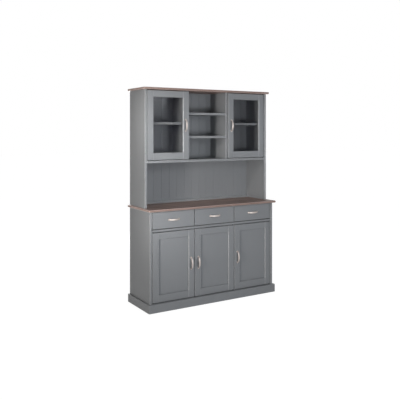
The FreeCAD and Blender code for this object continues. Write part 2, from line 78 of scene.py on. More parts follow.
class Sock:
    """An output of a node, which can be used in a sum."""

    def __init__(self, graph: "Graph", socket: bpy.types.NodeSocket) -> None:
        """Keep the socket and the graph that it belongs to."""
        self.graph = graph
        self.socket = socket

    def other(self, output: Key) -> "Sock":
        """Another output of the same node."""
        return Sock(self.graph, pick(self.socket.node.outputs, output))

    def __add__(self, other: "Value") -> "Sock":
        """This value plus another."""
        return self.graph.maths("ADD", self, other)

    def __radd__(self, other: "Value") -> "Sock":
        """Another value plus this one."""
        return self.graph.maths("ADD", other, self)

    def __sub__(self, other: "Value") -> "Sock":
        """This value less another."""
        return self.graph.maths("SUBTRACT", self, other)

    def __rsub__(self, other: "Value") -> "Sock":
        """Another value less this one."""
        return self.graph.maths("SUBTRACT", other, self)

    def __mul__(self, other: "Value") -> "Sock":
        """This value times another."""
        return self.graph.maths("MULTIPLY", self, other)

    def __rmul__(self, other: "Value") -> "Sock":
        """Another value times this one."""
        return self.graph.maths("MULTIPLY", other, self)

    def __truediv__(self, other: "Value") -> "Sock":
        """This value over another."""
        return self.graph.maths("DIVIDE", self, other)

    def __rtruediv__(self, other: "Value") -> "Sock":
        """Another value over this one."""
        return self.graph.maths("DIVIDE", other, self)

    def one_of(self, operation: str) -> "Sock":
        """Result of a Math node that takes this value alone, such as FLOOR or SINE."""
        return self.graph.maths(operation, self)

    def above(self, limit: "Value") -> "Sock":
        """1 where this value is above a limit, and 0 elsewhere."""
        return self.graph.maths("GREATER_THAN", self, limit)

    def below(self, limit: "Value") -> "Sock":
        """1 where this value is below a limit, and 0 elsewhere."""
        return self.graph.maths("LESS_THAN", self, limit)

    def step(self, low: float, high: float) -> "Sock":
        """Soft step from 0 at the low value to 1 at the high one."""
        settings = {"interpolation_type": "SMOOTHSTEP"}
        return self.graph.node("ShaderNodeMapRange", settings, {0: self, 1: low, 2: high})


Value = Union[Sock, int, float, str, Sequence, bpy.types.Material]


def pick(sockets: Sequence[bpy.types.NodeSocket], key: Key) -> bpy.types.NodeSocket:
    """Find a socket.

    Args:
        sockets: The inputs or the outputs of a node.
        key: The socket's place in the list, its identifier or its name.

    Returns:
        The socket, by identifier where both fit.
    """
    if isinstance(key, int):
        return sockets[key]
    by_identifier = [socket for socket in sockets if socket.identifier == key]
    return (by_identifier or [socket for socket in sockets if socket.name == key])[0]


class Graph:
    """A node tree that is written as expressions."""

    def __init__(self, tree: bpy.types.NodeTree) -> None:
        """Start from an empty tree."""
        self.tree = tree
        tree.nodes.clear()

    def node(self, kind: str, settings: Optional[dict[str, object]] = None,
             inputs: Optional[dict[Key, Value]] = None, output: Key = 0) -> Optional[Sock]:
        """Add a node.

        Args:
            kind: The node's type.
            settings: The node's own settings.
            inputs: The values or the links of its sockets. A list holds several links.
            output: The output that the result stands for.

        Returns:
            That output of the new node, or None for a node without outputs.
        """
        made = self.tree.nodes.new(kind)
        for name, value in (settings or {}).items():
            setattr(made, name, value)
        for key, value in (inputs or {}).items():
            socket = pick(made.inputs, key)
            if isinstance(value, (Sock, list)):
                for source in value if isinstance(value, list) else [value]:
                    self.tree.links.new(source.socket, socket)
            else:
                socket.default_value = value
        return Sock(self, pick(made.outputs, output)) if made.outputs else None

    def maths(self, operation: str, first: Value, second: Value = 0.0) -> Sock:
        """Result of a Math node with one or two inputs."""
        return self.node("ShaderNodeMath", {"operation": operation}, {0: first, 1: second})

    def vectors(self, operation: str, first: Value, second: Value, output: Key = 0) -> Sock:
        """Result of a Vector Math node."""
        return self.node("ShaderNodeVectorMath", {"operation": operation}, {0: first, 1: second}, output)

    def blend(self, factor: Value, first: Value, second: Value) -> Sock:
        """Colour between two colours."""
        settings = {"data_type": "RGBA"}
        inputs = {"Factor_Float": factor, "A_Color": first, "B_Color": second}
        return self.node("ShaderNodeMix", settings, inputs, "Result_Color")

    def place(self) -> Sock:
        """Place on the piece, in metres."""
        return self.node("ShaderNodeTexCoord", output="Object")

    def noise(self, place: Value, scale: float, detail: float = 2.0, distortion: float = 0.0) -> Sock:
        """Smooth noise from 0 to 1."""
        inputs = {"Vector": place, "Scale": scale, "Detail": detail, "Distortion": distortion}
        return self.node("ShaderNodeTexNoise", {}, inputs)

    def rounding(self, turned: float = 0.93, flat: float = 0.995) -> Sock:
        """Mask of the rounded arrises, where the surface faces between two of the main directions.

        Args:
            turned: The largest part of the normal up to which the mask is 1.
            flat: The largest part of the normal from which it is 0.

        Returns:
            The mask.
        """
        facing = self.node("ShaderNodeTexCoord", output="Normal")
        sizes = self.vectors("ABSOLUTE", facing, (0.0, 0.0, 0.0))
        parts = self.node("ShaderNodeSeparateXYZ", {}, {0: sizes})
        widest = self.maths("MAXIMUM", self.maths("MAXIMUM", parts, parts.other("Y")), parts.other("Z"))
        return 1.0 - widest.step(turned, flat)

    def bump(self, height: Sock, depth: float, strength: float = 1.0) -> Sock:
        """Normal of a surface with a relief of a depth in metres."""
        return self.node("ShaderNodeBump", {}, {"Height": height, "Distance": depth, "Strength": strength})

    def surface(self, inputs: dict[Key, Value]) -> None:
        """Close a material with one shader over the whole surface.

        Args:
            inputs: The shader's sockets, as links or as constants.
        """
        shader = self.node("ShaderNodeBsdfPrincipled", {}, inputs)
        self.node("ShaderNodeOutputMaterial", {}, {"Surface": shader})


def opaque(colour: Colour) -> tuple[float, float, float, float]:
    """Colour with a full alpha, as a socket takes it."""
    return (*colour, 1.0)


class Finish:
    """Something that a piece is coated with or made of."""

    def title(self) -> str:
        """Name of the finish's material."""
        raise NotImplementedError

    def material(self) -> bpy.types.Material:
        """Material of this finish, which is made only once."""
        made = bpy.data.materials.get(self.title())
        if made is None:
            made = bpy.data.materials.new(self.title())
            made.use_nodes = True
            self.lay(Graph(made.node_tree))
        return made

    def lay(self, graph: Graph) -> None:
        """Build the finish in an empty graph."""
        raise NotImplementedError


@dataclass(frozen=True)
class GreyPaint(Finish):
    """Satin grey paint over pine, with the grain showing faintly through it."""

    grain: Axis
    tone: Colour = (0.232, 0.239, 0.249)
    pale: Colour = (0.262, 0.269, 0.278)
    # Pale arris colour: partly worn paint, partly a painted highlight where light catches the edges.
    rubbed: Colour = (0.55, 0.555, 0.56)
    sheen: float = 0.46
    gloss: float = 0.1
    coat_sheen: float = 0.3
    # How strongly the arrises pale: worn paint and a painted highlight.
    wear: Wear = Wear.FULL
    stretch: float = 0.05
    fibre_scale: float = 900.0
    ring_scale: float = 90.0
    mottle_scale: float = 4.0
    chip_scale: float = 140.0
    relief_depth: float = 0.0003

    def title(self) -> str:
        """Name with the way of the grain and the strength of the worn, highlighted edges."""
        return f"satin grey paint {self.grain.name} wear {self.wear.value:.1f}"

    def lay(self, graph: Graph) -> None:
        """Build the mottled coat, the raised grain under it, and pale arrises that are partly worn paint and
        partly a painted highlight.
        """
        place = graph.place()
        drawn = graph.vectors("MULTIPLY", place, self.grain.drawn_out(self.stretch, 1.0))
        fibres = graph.noise(drawn, self.fibre_scale, 3.0)
        rings = graph.noise(drawn, self.ring_scale, 2.0, 1.5)
        mottle = graph.noise(place, self.mottle_scale, 3.0)
        chipped = graph.noise(place, self.chip_scale, 2.0).step(0.42, 0.62)
        arris = graph.rounding() * self.wear.value
        coat = graph.blend(mottle * 0.7 + rings * 0.3, opaque(self.tone), opaque(self.pale))
        # The arrises are blended towards the pale colour: partly worn paint, partly a painted highlight on
        # the edges.
        colour = graph.blend(arris * (0.45 + chipped * 0.4), coat, opaque(self.rubbed))
        relief = fibres * 0.35 + rings * 0.65
        graph.surface({
            "Base Color": colour,
            "Roughness": self.sheen - 0.05 + mottle * 0.06 + fibres * 0.06,
            "Specular IOR Level": self.gloss,
            "Coat Weight": arris,
            "Coat Roughness": self.coat_sheen,
            "Normal": graph.bump(relief, self.relief_depth, 0.5),
        })


@dataclass(frozen=True)
class Timber(Finish):
    """Wood with growth rings and pores, in staves where the board is glued up."""

    name: str
    grain: Axis
    dark: Colour
    light: Colour
    ring_pitch: float
    stave: float
    sheen: float
    # Pale arris colour: partly worn wood, partly a painted highlight on the edges.
    rubbed: Colour
    pore: float = 0.5
    gloss: float = 0.2
    coat_sheen: float = 0.35
    scatter: float = 0.9
    stretch: float = 0.08
    pore_stretch: float = 0.03
    wander_scale: float = 16.0
    wander_rings: float = 6.0
    pore_scale: float = 1500.0
    streak_scale: float = 70.0
    seam_share: float = 0.012
    relief_depth: float = 0.0004

    def title(self) -> str:
        """Name of the wood with the way of its grain."""
        return f"{self.name} {self.grain.name}"

    def lay(self, graph: Graph) -> None:
        """Build rings round a wandering pith, pores, a tone for each stave, and pale arrises that are partly
        worn wood and partly a painted highlight.
        """
        place = graph.place()
        across = graph.node("ShaderNodeSeparateXYZ", {}, {0: place}, "X" if self.grain is Axis.Y else "Y")
        lane = (across / self.stave).one_of("FLOOR")
        chance = graph.node("ShaderNodeTexWhiteNoise", {"noise_dimensions": "1D"}, {"W": lane}, "Color")
        tone = chance.other("Value")
        scattered = graph.node("ShaderNodeVectorMath", {"operation": "MULTIPLY_ADD"},
                               {0: chance, 1: (self.scatter,) * 3, 2: place})
        drawn = graph.vectors("MULTIPLY", scattered, self.grain.drawn_out(self.stretch, 1.0))
        wander = graph.noise(drawn, self.wander_scale, 3.0, 0.6)
        section = graph.vectors("MULTIPLY", drawn, self.grain.drawn_out(0.0, 1.0))
        radius = graph.vectors("LENGTH", section, (0.0, 0.0, 0.0), "Value")
        turns = (radius + wander * (self.wander_rings * self.ring_pitch)) / self.ring_pitch
        ring = (turns * math.tau).one_of("SINE") * 0.5 + 0.5
        fine = graph.vectors("MULTIPLY", scattered, self.grain.drawn_out(self.pore_stretch, 1.0))
        pores = graph.noise(fine, self.pore_scale, 2.0)
        streaks = graph.noise(drawn, self.streak_scale, 3.0)
        depth = ring * 0.34 + streaks * 0.36 + tone * 0.3
        ripe = graph.blend(depth, opaque(self.dark), opaque(self.light))
        seam = (across / self.stave).one_of("FRACT")
        joint = 1.0 - seam.step(0.0, self.seam_share) * (1.0 - seam.step(1.0 - self.seam_share, 1.0))
        marked = (1.0 - pores.step(0.3, 0.46)) * self.pore + joint * 0.5
        colour = graph.blend(marked, ripe, opaque(tuple(0.5 * value for value in self.dark)))
        arris = graph.rounding()
        relief = pores * 0.6 + ring * 0.2 - joint * 0.4
        # The base colour pales along the arrises: partly worn wood, partly a painted highlight on the edges.
        graph.surface({
            "Base Color": graph.blend(arris * 0.5, colour, opaque(self.rubbed)),
            "Roughness": self.sheen + pores * 0.14 - ring * 0.05,
            "Specular IOR Level": self.gloss,
            "Coat Weight": arris,
            "Coat Roughness": self.coat_sheen,
            "Normal": graph.bump(relief, self.relief_depth, 0.5),
        })


@dataclass(frozen=True)
class Metal(Finish):
    """Plated metal with a fine satin grain."""

    name: str
    colour: Colour
    sheen: float
    worn_share: float = 0.82
    haze_scale: float = 260.0
    brush_scale: float = 700.0
    brush_squeeze: float = 8.0
    relief_depth: float = 0.00008

    def title(self) -> str:
        """Name of the metal."""
        return self.name

    def lay(self, graph: Graph) -> None:
        """Build the plating, a little uneven in tone and gloss."""
        place = graph.place()
        haze = graph.noise(place, self.haze_scale, 3.0)
        squeezed = graph.vectors("MULTIPLY", place, Axis.Z.drawn_out(self.brush_squeeze, 1.0))
        brushed = graph.noise(squeezed, self.brush_scale, 2.0)
        worn = tuple(self.worn_share * value for value in self.colour)
        graph.surface({
            "Base Color": graph.blend(haze, opaque(worn), opaque(self.colour)),
            "Metallic": 1.0,
            "Roughness": self.sheen + haze * 0.08 + brushed * 0.06,
            "Normal": graph.bump(brushed, self.relief_depth, 0.4),
        })


@dataclass(frozen=True)
class MattSheet(Finish):
    """Plain matt material with a faint speckle, for hidden boards and mouldings."""

    name: str
    colour: Colour
    sheen: float
    dull_share: float = 0.86
    speckle_scale: float = 900.0
    relief_depth: float = 0.0001

    def title(self) -> str:
        """Name of the material."""
        return self.name

    def lay(self, graph: Graph) -> None:
        """Build the speckled colour and a fine tooth."""
        speckle = graph.noise(graph.place(), self.speckle_scale, 3.0)
        dull = tuple(self.dull_share * value for value in self.colour)
        graph.surface({
            "Base Color": graph.blend(speckle, opaque(dull), opaque(self.colour)),
            "Roughness": self.sheen + speckle * 0.1,
            "Normal": graph.bump(speckle, self.relief_depth, 0.5),
        })


@dataclass(frozen=True)
class WindowGlass(Finish):
    """Clear pane that takes a little of the light on its way through."""

    tint: Colour = (0.012, 0.013, 0.022)
    cover: float = 0.12
    sheen: float = 0.02
    gloss: float = 0.2
    smear_scale: float = 9.0

    def title(self) -> str:
        """Name of the glass."""
        return "clear pane"

    def lay(self, graph: Graph) -> None:
        """Build a smooth thin pane with a trace of smears in its gloss."""
        smears = graph.noise(graph.place(), self.smear_scale, 4.0)
        graph.surface({
            "Base Color": opaque(self.tint),
            "Roughness": self.sheen + smears * 0.05,
            "Specular IOR Level": self.gloss,
            "Alpha": self.cover,
        })


NICKEL = Metal("warm satin nickel", (0.47, 0.42, 0.395), 0.36)
ZINC = Metal("zinc plated steel", (0.62, 0.62, 0.61), 0.32)
# Near-black steel for the door pivots, so the door gaps they sit in stay dark: painted shade.
DARK_STEEL = Metal("blackened steel", (0.05, 0.05, 0.05), 0.45)
HARDBOARD = MattSheet("painted hardboard", (0.33, 0.34, 0.35), 0.6)
STOP_PLASTIC = MattSheet("grey stop plastic", (0.2, 0.2, 0.21), 0.5)
GLASS = WindowGlass()
BEECH = Timber(
    "turned beech", Axis.Z, dark=(0.5, 0.32, 0.19), light=(0.7, 0.5, 0.32),
    ring_pitch=0.002, stave=1.0, sheen=0.5, rubbed=(0.72, 0.55, 0.38),
)
BROWN_WOOD = Timber(
    "waxed brown wood", Axis.X, dark=(0.145, 0.095, 0.076), light=(0.5, 0.352, 0.31),
    ring_pitch=0.006, stave=0.086, sheen=0.4, rubbed=(0.52, 0.385, 0.35),
)
BARE_PINE = Timber(
    "planed pine", Axis.Y, dark=(0.52, 0.33, 0.16), light=(0.72, 0.53, 0.32),
    ring_pitch=0.0045, stave=1.0, sheen=0.55, rubbed=(0.74, 0.58, 0.38), pore=0.15,
)


def painted(grain: Axis, wear: Wear = Wear.FULL) -> bpy.types.Material:
    """Material of the grey paint over boards whose grain runs that way."""
    return GreyPaint(grain, wear=wear).material()


class Shaper:
    """A geometry tree with named sizes, which turns a starting mesh into a finished one."""

    KINDS = {int: "NodeSocketInt", float: "NodeSocketFloat", tuple: "NodeSocketVector"}

    def __init__(self, name: str, sizes: dict[str, Union[int, float, tuple]]) -> None:
        """Open a tree.

        Args:
            name: The tree's name.
            sizes: Its named inputs, each with the value that it gets on the modifier.
        """
        self.sizes = sizes
        tree = bpy.data.node_groups.new(name, "GeometryNodeTree")
        self.graph = Graph(tree)
        tree.interface.new_socket("Blank", in_out="INPUT", socket_type="NodeSocketGeometry")
        for size, value in sizes.items():
            tree.interface.new_socket(size, in_out="INPUT", socket_type=self.KINDS[type(value)])
        tree.interface.new_socket("Result", in_out="OUTPUT", socket_type="NodeSocketGeometry")
        self.inlet = self.graph.node("NodeGroupInput")

    def blank(self) -> Sock:
        """The starting mesh."""
        return self.inlet

    def size(self, name: str) -> Sock:
        """One of the named inputs."""
        return self.inlet.other(name)

    def point(self, x: Value = 0.0, y: Value = 0.0, z: Value = 0.0) -> Sock:
        """Point or vector from its three parts."""
        return self.graph.node("ShaderNodeCombineXYZ", {}, {"X": x, "Y": y, "Z": z})

    def stored(self, name: str) -> Sock:
        """Value of a named attribute."""
        return self.graph.node("GeometryNodeInputNamedAttribute", {"data_type": "FLOAT"}, {"Name": name})

    def store(self, geometry: Sock, name: str, value: Sock) -> Sock:
        """Geometry with a value kept on each of its points."""
        settings = {"data_type": "FLOAT", "domain": "POINT"}
        inputs = {"Geometry": geometry, "Name": name, "Value": value}
        return self.graph.node("GeometryNodeStoreNamedAttribute", settings, inputs)

    def spread(self, points: Sock, instance: Sock, turn: Optional[Sock] = None) -> Sock:
        """Copies of an instance on points, each as real geometry."""
        inputs = {"Points": points, "Instance": instance}
        if turn is not None:
            inputs["Rotation"] = turn
        copies = self.graph.node("GeometryNodeInstanceOnPoints", {}, inputs)
        return self.graph.node("GeometryNodeRealizeInstances", {}, {"Geometry": copies})

    def moved(self, geometry: Sock, place: Sock) -> Sock:
        """Geometry with new places for its points."""
        return self.graph.node("GeometryNodeSetPosition", {}, {"Geometry": geometry, "Position": place})

    def joined(self, *pieces: Sock) -> Sock:
        """Several geometries as one."""
        return self.graph.node("GeometryNodeJoinGeometry", {}, {"Geometry": list(pieces)})

    def run(self, result: Sock, blank: bpy.types.Mesh, finish: bpy.types.Material,
            name: str) -> bpy.types.Mesh:
        """Close the tree and make a plain mesh with it.

        Args:
            result: The geometry that the tree ends in.
            blank: The starting mesh.
            finish: The material of the result.
            name: The name of the new mesh.

        Returns:
            The mesh, with nothing live left on it.
        """
        solid = self.graph.node("GeometryNodeRealizeInstances", {}, {"Geometry": result})
        coated = self.graph.node("GeometryNodeSetMaterial", {}, {"Geometry": solid, "Material": finish})
        self.graph.node("NodeGroupOutput", {}, {"Result": coated})
        holder = bpy.data.objects.new(name, blank)
        bpy.context.scene.collection.objects.link(holder)
        modifier = holder.modifiers.new("shape", "NODES")
        modifier.node_group = self.graph.tree
        for item in self.graph.tree.interface.items_tree:
            if item.name in self.sizes:
                modifier[item.identifier] = self.sizes[item.name]
        shown = holder.evaluated_get(bpy.context.evaluated_depsgraph_get())
        mesh = bpy.data.meshes.new_from_object(shown)
        bpy.data.objects.remove(holder)
        mesh.name = name
        return mesh


def rounded_arris(centre: Corner, radius: float, start: float, steps: int = 4) -> list[Corner]:
    """Quarter circle in an outline.

    Args:
        centre: Its centre, across and in depth.
        radius: Its radius.
        start: The angle that it starts at, in degrees from across. It turns towards the depth.
        steps: The number of its sides.

    Returns:
        Its corners in order.
    """
    corners = []
    for step in range(steps + 1):
        angle = math.radians(start + 90.0 * step / steps)
        across = centre[0] + radius * math.cos(angle)
        depth = centre[1] + radius * math.sin(angle)
        corners.append((across, depth))
    return corners


class Workpiece:
    """Closed solids that are gathered in one mesh."""

    def __init__(self) -> None:
        """Start with nothing."""
        self.bm = bmesh.new()
        self.far = self.bm.verts.layers.float.new("far_edge")

    def skin(self, rings: Sequence[Sequence[Vector]], coat: int = 0) -> None:
        """Add a solid through outlines of equal length.

        Args:
            rings: The outlines from one end to the other.
            coat: The number of its material.
        """
        loops = [[self.bm.verts.new(point) for point in ring] for ring in rings]
        for low, high in zip(loops, loops[1:]):
            for side in range(len(low)):
                after = (side + 1) % len(low)
                face = self.bm.faces.new((low[side], low[after], high[after], high[side]))
                face.material_index = coat
        for loop in (loops[0], loops[-1]):
            self.bm.faces.new(loop).material_index = coat

    def block(self, low: Vector, high: Vector, coat: int = 0) -> None:
        """Add a plain block between two corners."""
        ends = []
        for z in (low.z, high.z):
            ends.append([Vector((low.x, low.y, z)), Vector((high.x, low.y, z)),
                         Vector((high.x, high.y, z)), Vector((low.x, high.y, z))])
        self.skin(ends, coat)

    def turned(self, profile: Sequence[tuple[float, float]], axis: Vector, sides: int) -> None:
        """Add a turned solid on an axis through the origin.

        Args:
            profile: Pairs of a distance along the axis and a radius above zero.
            axis: The direction of the axis.
            sides: The number of sides round it.
        """
        turn = axis.to_track_quat("Z", "Y")
        rings = []
        for along, radius in profile:
            ring = []
            for side in range(sides):
                angle = math.tau * side / sides
                ring.append(turn @ Vector((radius * math.cos(angle), radius * math.sin(angle), along)))
            rings.append(ring)
        self.skin(rings)

    def mesh(self, name: str, coats: Sequence[bpy.types.Material] = ()) -> bpy.types.Mesh:
        """Finished mesh with its faces outwards.

        Args:
            name: The mesh's name.
            coats: Its materials in the order of their numbers.

        Returns:
            The mesh. The workpiece is spent.
        """
        bmesh.ops.recalc_face_normals(self.bm, faces=self.bm.faces)
        made = bpy.data.meshes.new(name)
        self.bm.to_mesh(made)
        self.bm.free()
        for coat in coats:
            made.materials.append(coat)
        return made


def shaded(mesh: bpy.types.Mesh, crease: float = 38.0) -> bpy.types.Mesh:
    """Keep flat faces flat in the light, beside softly rounded arrises.

    Args:
        mesh: The finished shape.
        crease: The angle in degrees from which an edge stays sharp.

    Returns:
        A mesh of the same shape, with its normals weighted by the size of its faces.
    """
    mesh.shade_smooth()
    mesh.set_sharp_from_angle(angle=math.radians(crease))
    holder = bpy.data.objects.new(mesh.name, mesh)
    bpy.context.scene.collection.objects.link(holder)
    holder.modifiers.new("weighted normals", "WEIGHTED_NORMAL").keep_sharp = True
    shown = holder.evaluated_get(bpy.context.evaluated_depsgraph_get())
    made = bpy.data.meshes.new_from_object(shown)
    bpy.data.objects.remove(holder)
    return made


def fitted(name: str, mesh: bpy.types.Mesh, body: str, node: str) -> None:
    """Put a finished mesh on the cabinet in the place of a node.

    Args:
        name: The piece's name.
        mesh: Its mesh, already in its place.
        body: The body that it moves with.
        node: The node that it stands for.
    """
    piece = bpy.data.objects.new(name, shaded(mesh))
    bpy.context.scene.collection.objects.link(piece)
    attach(piece, body)
    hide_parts(node)
    log.info("%s made for %s, with %d faces", name, body, len(mesh.polygons))


def coated(node: str, material: bpy.types.Material) -> None:
    """Give a node of the frame its finish."""
    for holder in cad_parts[node].material_slots:
        holder.material = material
    log.info("%s finished in %s", node, material.name)


@dataclass
class Carcass:
    """The fixed boards of base and hutch, and the fittings that stay inside."""

    upright: Sequence[str] = (
        "base_side_left", "base_side_right", "hutch_side_left", "hutch_side_right",
        "hutch_divider_left", "hutch_divider_right",
    )
    inner_upright: Sequence[str] = ("cupboard_partition", "drawer_divider_left", "drawer_divider_right")
    level: Sequence[str] = (
        "base_floor", "hutch_floor", "niche_rail", "cubby_shelf_lower", "cubby_shelf_upper",
        "display_shelf_left", "display_shelf_right",
    )
    inner_level: Sequence[str] = ("drawer_deck", "cupboard_shelf_wide", "cupboard_shelf_narrow")
    plinth_front: Sequence[str] = ("plinth_front",)
    plinth_ends: Sequence[str] = ("plinth_left", "plinth_right")

    def dress(self) -> None:
        """Paint the boards along their grain and finish the rest."""
        for nodes, grain, wear in (
            (self.upright, Axis.Z, Wear.FULL), (self.inner_upright, Axis.Z, Wear.NONE),
            (self.level, Axis.X, Wear.FULL), (self.inner_level, Axis.X, Wear.NONE),
            (self.plinth_front, Axis.X, Wear.NONE), (self.plinth_ends, Axis.Y, Wear.NONE),
        ):
            for node in nodes:
                coated(node, painted(grain, wear))
        # The door pivots are near black, painted shade in the door gaps.
        for node, finish in (
            ("worktop", BROWN_WOOD), ("top_board", BROWN_WOOD), ("base_back", HARDBOARD),
            ("drawer_runners", BARE_PINE), ("hutch_dowels", BEECH), ("door_pivots", DARK_STEEL),
            ("door_stops", STOP_PLASTIC),
        ):
            coated(node, finish.material())


@dataclass
class BackBoards:
    """Upright tongue and groove boards behind the hutch."""

    node: str = "hutch_back_boards"
    pitch: float = 0.080
    first_width: float = 0.049
    rebate: float = 0.009
    groove: float = 0.0025

    def blank(self) -> bpy.types.Mesh:
        """Board of no width: each point knows how far it is from its own edge of the board."""
        low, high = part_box(self.node)
        piece = Workpiece()
        edge = rounded_arris((self.groove, self.groove), self.groove, 180.0)
        near = [(across, depth, 0.0) for across, depth in edge]
        far = [(-across, depth, 1.0) for across, depth in reversed(edge)]
        thickness = high.y - low.y
        outline = [(0.0, thickness, 0.0)] + near + far + [(0.0, thickness, 1.0)]
        rings = []
        for level in (low.z, high.z):
            rings.append([Vector((across, low.y + depth, level)) for across, depth, side in outline])
        piece.skin(rings)
        piece.bm.verts.ensure_lookup_table()
        sides = [side for across, depth, side in outline] * len(rings)
        for vert, side in zip(piece.bm.verts, sides):
            vert[piece.far] = side
        return piece.mesh("back board")

    def build(self) -> None:
        """Lay the boards side by side between the rebates of the hutch sides."""
        low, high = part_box(self.node)
        first = low.x + self.rebate + self.first_width
        joints = round((high.x - first) / self.pitch)
        shaper = Shaper("back boards", {
            "Joints": joints, "First joint": first, "Pitch": self.pitch, "Left": low.x, "Right": high.x,
        })
        graph = shaper.graph
        spots = {"Count": shaper.size("Joints") + 1, "Offset": (0.0, 0.0, 0.0)}
        line = graph.node("GeometryNodeMeshLine", {}, spots)
        number = graph.node("GeometryNodeInputIndex")
        joint = shaper.size("First joint") + number * shaper.size("Pitch")
        is_first = number.below(0.5)
        is_last = number.above(shaper.size("Joints") - 0.5)
        near = (joint - shaper.size("Pitch")) * (1.0 - is_first) + shaper.size("Left") * is_first
        far = joint * (1.0 - is_last) + shaper.size("Right") * is_last
        line = shaper.store(shaper.store(line, "near", near), "far", far)
        boards = shaper.spread(line, shaper.blank())
        place = graph.node("GeometryNodeInputPosition")
        side = shaper.stored("far_edge")
        along = shaper.stored("near") * (1.0 - side) + shaper.stored("far") * side
        boards = shaper.moved(boards, graph.vectors("ADD", place, shaper.point(along)))
        mesh = shaper.run(boards, self.blank(), painted(Axis.Z, Wear.NONE), "back_boards")
        fitted("back_boards", mesh, "carcass", self.node)


def one_mesh(name: str, meshes: Sequence[bpy.types.Mesh]) -> bpy.types.Mesh:
    """Gather meshes that share a material.

    Args:
        name: The new mesh's name.
        meshes: The meshes, each in its place.

    Returns:
        One mesh with the material of the first.
    """
    gathered = bmesh.new()
    for mesh in meshes:
        gathered.from_mesh(mesh)
    made = bpy.data.meshes.new(name)
    gathered.to_mesh(made)
    gathered.free()
    made.materials.append(meshes[0].materials[0])
    return made


@dataclass
class ShelfPins:
    """Steel pins under the four loose shelves."""

    shelves: Sequence[str] = (
        "cupboard_shelf_wide", "cupboard_shelf_narrow", "display_shelf_left", "display_shelf_right",
    )
    node: str = "shelf_pins"
    radius: float = 0.0025
    inset: float = 0.018
    drop: float = 0.0028
    wall_gap: float = 0.0005
    hidden: float = 0.008
    reach: float = 0.008
    ease: float = 0.00075
    hidden_tip: float = 0.001
    shown_tip: float = 0.00125
    sides: int = 16

    def blank(self) -> bpy.types.Mesh:
        """Turned pin that points along X, with its wall at the origin."""
        piece = Workpiece()
        profile = [
            (-self.hidden, self.hidden_tip), (-self.hidden + self.ease, self.radius), (0.0, self.radius),
            (self.reach - self.ease, self.radius), (self.reach, self.shown_tip),
        ]
        piece.turned(profile, Vector((1.0, 0.0, 0.0)), self.sides)
        return piece.mesh("shelf pin")

    def under(self, shelf: str) -> bpy.types.Mesh:
        """Four pins under one shelf.

        Args:
            shelf: The shelf's node.

        Returns:
            The pins in their places.
        """
        low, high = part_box(shelf)
        shaper = Shaper("shelf pins", {
            "Centre": (0.5 * (low.x + high.x), 0.5 * (low.y + high.y), low.z - self.drop),
            "Width": high.x - low.x + 2.0 * self.wall_gap,
            "Depth": high.y - low.y - 2.0 * self.inset,
        })
        graph = shaper.graph
        seats = graph.node("GeometryNodeMeshGrid", {}, {
            "Size X": shaper.size("Width"), "Size Y": shaper.size("Depth"), "Vertices X": 2, "Vertices Y": 2,
        })
        place = graph.node("GeometryNodeInputPosition")
        right = graph.node("ShaderNodeSeparateXYZ", {}, {0: place}, "X").above(0.0)
        turn = graph.node("FunctionNodeEulerToRotation", {}, {0: shaper.point(0.0, 0.0, right * math.pi)})
        pins = shaper.spread(seats, shaper.blank(), turn)
        pins = shaper.moved(pins, graph.vectors("ADD", place, shaper.size("Centre")))
        return shaper.run(pins, self.blank(), ZINC.material(), shelf + "_pins")

    def build(self) -> None:
        """Set all the pins as one piece."""
        mesh = one_mesh("shelf_pin_set", [self.under(shelf) for shelf in self.shelves])
        fitted("shelf_pin_set", mesh, "carcass", self.node)


